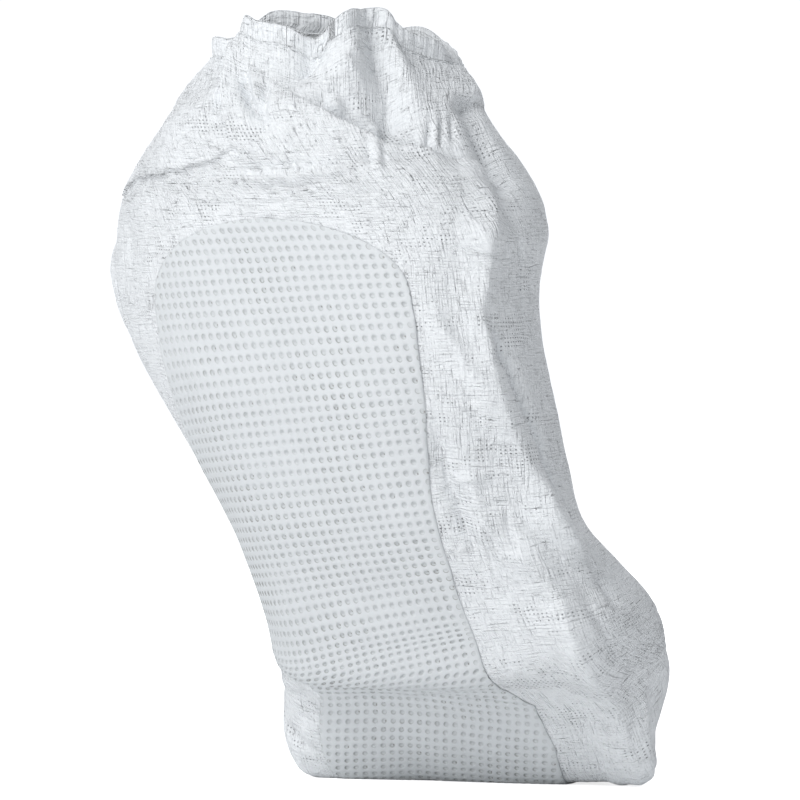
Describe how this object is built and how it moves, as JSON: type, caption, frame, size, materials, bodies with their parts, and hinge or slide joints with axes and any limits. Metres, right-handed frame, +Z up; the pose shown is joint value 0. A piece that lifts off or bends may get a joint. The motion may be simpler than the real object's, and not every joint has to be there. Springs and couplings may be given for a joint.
{
  "type": "anti-slip shoe cover",
  "caption": "Hollow nonwoven overshoe in its worn, heel-up form: gathered ankle opening, crumpled upper and a long embossed anti-slip sole panel.",
  "frame": {"origin": "middle of the ankle opening, 292 mm above the underside of the toe end", "axes": "+Z up through the ankle opening, -Y where the sole of the raised heel faces, +Y where the toe end points along the floor, +X towards the side with the long ridges"},
  "size_m": [0.2164, 0.1723, 0.3056],
  "materials": {
    "upper_fabric": "matt white flash-spun nonwoven, crumpled, with a fine linen embossing",
    "grip_sheet": "soft white foil embossed with rows of small round dimples",
    "hem_fabric": "the upper's fabric turned over the elastic and stitched"
  },
  "bodies": {
    "root": {"upper": "upper_fabric", "sole_panel": "grip_sheet", "hem_casing": "hem_fabric"}
  },
  "joints": []
}
